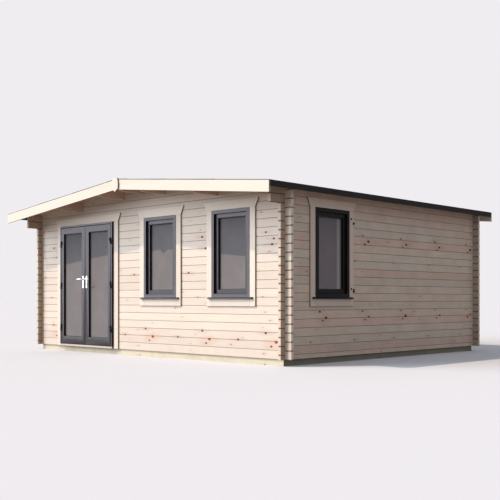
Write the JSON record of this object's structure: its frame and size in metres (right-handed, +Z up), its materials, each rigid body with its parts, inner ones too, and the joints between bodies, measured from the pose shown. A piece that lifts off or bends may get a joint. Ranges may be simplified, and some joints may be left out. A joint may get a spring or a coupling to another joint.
{
  "type": "log cabin",
  "caption": "Garden log cabin of interlocked horizontal logs under a low ridge roof with a deep front overhang, with outward opening glazed double doors and framed windows.",
  "frame": {"origin": "under the middle of the roof's outline, at the underside of the base timbers", "axes": "+X across the front to the right as seen by someone facing the door, +Y from front to rear, +Z up"},
  "size_m": [5.83, 5.296, 2.514],
  "materials": {
    "log_timber": "bare spruce with knots",
    "trim_timber": "planed pale spruce",
    "floor_timber": "planed spruce boards",
    "roof_timber": "planed spruce boards",
    "treated_timber": "pressure treated, greenish",
    "roofing": "black roofing sheet",
    "painted_frame": "satin anthracite",
    "pane": "clear double glazing",
    "hinge_metal": "black",
    "handle_metal": "satin chrome"
  },
  "bodies": {
    "cabin": {"base_frame": "treated_timber", "floor_joists": "treated_timber", "floor_boards": "floor_timber", "front_wall_left": "log_timber", "front_wall_right": "log_timber", "front_gable": "log_timber", "rear_wall": "log_timber", "left_wall": "log_timber", "right_wall": "log_timber", "ridge_purlin": "log_timber", "left_purlins": "log_timber", "right_purlins": "log_timber", "roof_boards_left": "roof_timber", "roof_boards_right": "roof_timber", "roof_sheet": "roofing", "eaves_board_left": "roofing", "eaves_board_right": "roofing", "bargeboard_front_left": "trim_timber", "bargeboard_front_right": "trim_timber", "bargeboard_rear_left": "trim_timber", "bargeboard_rear_right": "trim_timber", "finial_front": "trim_timber", "finial_rear": "trim_timber", "door_frame": "painted_frame", "door_stop": "painted_frame", "door_threshold": "trim_timber", "door_trim": "trim_timber", "door_frame_hinges": "hinge_metal", "window_1_frame": "painted_frame", "window_1_sash": "painted_frame", "window_1_glass": "pane", "window_1_trim": "trim_timber", "window_2_frame": "painted_frame", "window_2_sash": "painted_frame", "window_2_glass": "pane", "window_2_trim": "trim_timber", "side_window_frame": "painted_frame", "side_window_sash": "painted_frame", "side_window_glass": "pane", "side_window_trim": "trim_timber"},
    "left_door": {"left_door_leaf": "painted_frame", "left_door_glass": "pane", "left_door_hinges": "hinge_metal", "left_door_handle": "handle_metal"},
    "right_door": {"right_door_leaf": "painted_frame", "right_door_glass": "pane", "right_door_hinges": "hinge_metal", "right_door_handle": "handle_metal"}
  },
  "joints": [
    {"name": "left_door_hinge", "type": "hinge", "parent": "cabin", "child": "left_door", "pos_m": [-2.051, -2.177, 1], "axis": [0, 0, -1], "range_deg": [0, 100]},
    {"name": "right_door_hinge", "type": "hinge", "parent": "cabin", "child": "right_door", "pos_m": [-0.739, -2.177, 1], "axis": [0, 0, 1], "range_deg": [0, 100]}
  ]
}
